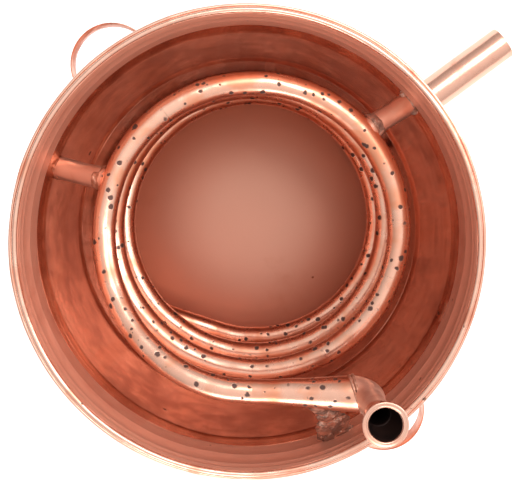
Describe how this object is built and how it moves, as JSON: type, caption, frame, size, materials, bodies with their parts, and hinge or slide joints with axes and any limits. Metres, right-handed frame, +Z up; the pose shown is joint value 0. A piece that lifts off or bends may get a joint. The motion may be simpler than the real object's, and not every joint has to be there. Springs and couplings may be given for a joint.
{
  "type": "alembic worm tub condenser",
  "caption": "Open tapered copper tub with a helical condensing worm inside, an upright vapour inlet socket, a spirit outlet pipe and two strap handles.",
  "frame": {"origin": "centre of the tub's underside, on the floor it stands on", "axes": "+Z up along the tub's axis; the vapour inlet stands towards +X -Y and the outlet pipe leaves towards +X +Y"},
  "size_m": [0.4186, 0.3536, 0.3701],
  "materials": {
    "tub_copper": "polished sheet copper, drawn lines round the wall",
    "rim_copper": "bright rolled copper",
    "worm_copper": "polished copper tube with small dark spots",
    "fitting_copper": "polished copper",
    "strap_copper": "satin copper strap",
    "soft_solder": "dull lumpy solder, flushed with copper",
    "iron_wire": "drawn wire, hidden in the roll"
  },
  "bodies": {
    "root": {"upper_band": "tub_copper", "rim_roll": "rim_copper", "rim_wire": "iron_wire", "rim_hoop": "rim_copper", "shoulder_solder": "soft_solder", "tapered_wall_north_east": "tub_copper", "tapered_wall_north_west": "tub_copper", "tapered_wall_south_west": "tub_copper", "tapered_wall_south_east": "tub_copper", "lower_wall_north_east": "tub_copper", "lower_wall_north_west": "tub_copper", "lower_wall_south_west": "tub_copper", "lower_wall_south_east": "tub_copper", "base_plate": "tub_copper", "base_solder": "soft_solder", "foot_ring": "tub_copper", "worm_inlet_length": "worm_copper", "worm_length_1": "worm_copper", "worm_length_2": "worm_copper", "worm_length_3": "worm_copper", "worm_length_4": "worm_copper", "worm_length_5": "worm_copper", "worm_length_6": "worm_copper", "worm_length_7": "worm_copper", "worm_tail_1": "worm_copper", "worm_tail_2": "worm_copper", "worm_tail_3": "worm_copper", "inlet_knee": "fitting_copper", "inlet_seam_solder": "soft_solder", "inlet_socket": "fitting_copper", "inlet_lip": "fitting_copper", "outlet_pipe": "fitting_copper", "outlet_collar": "fitting_copper", "outlet_solder": "soft_solder", "handle_left": "strap_copper", "handle_right": "strap_copper", "handle_solder": "soft_solder", "stay_west": "worm_copper", "stay_north": "worm_copper", "stay_south": "worm_copper", "stay_solder_at_worm": "soft_solder", "stay_solder_at_wall": "soft_solder"}
  },
  "joints": []
}
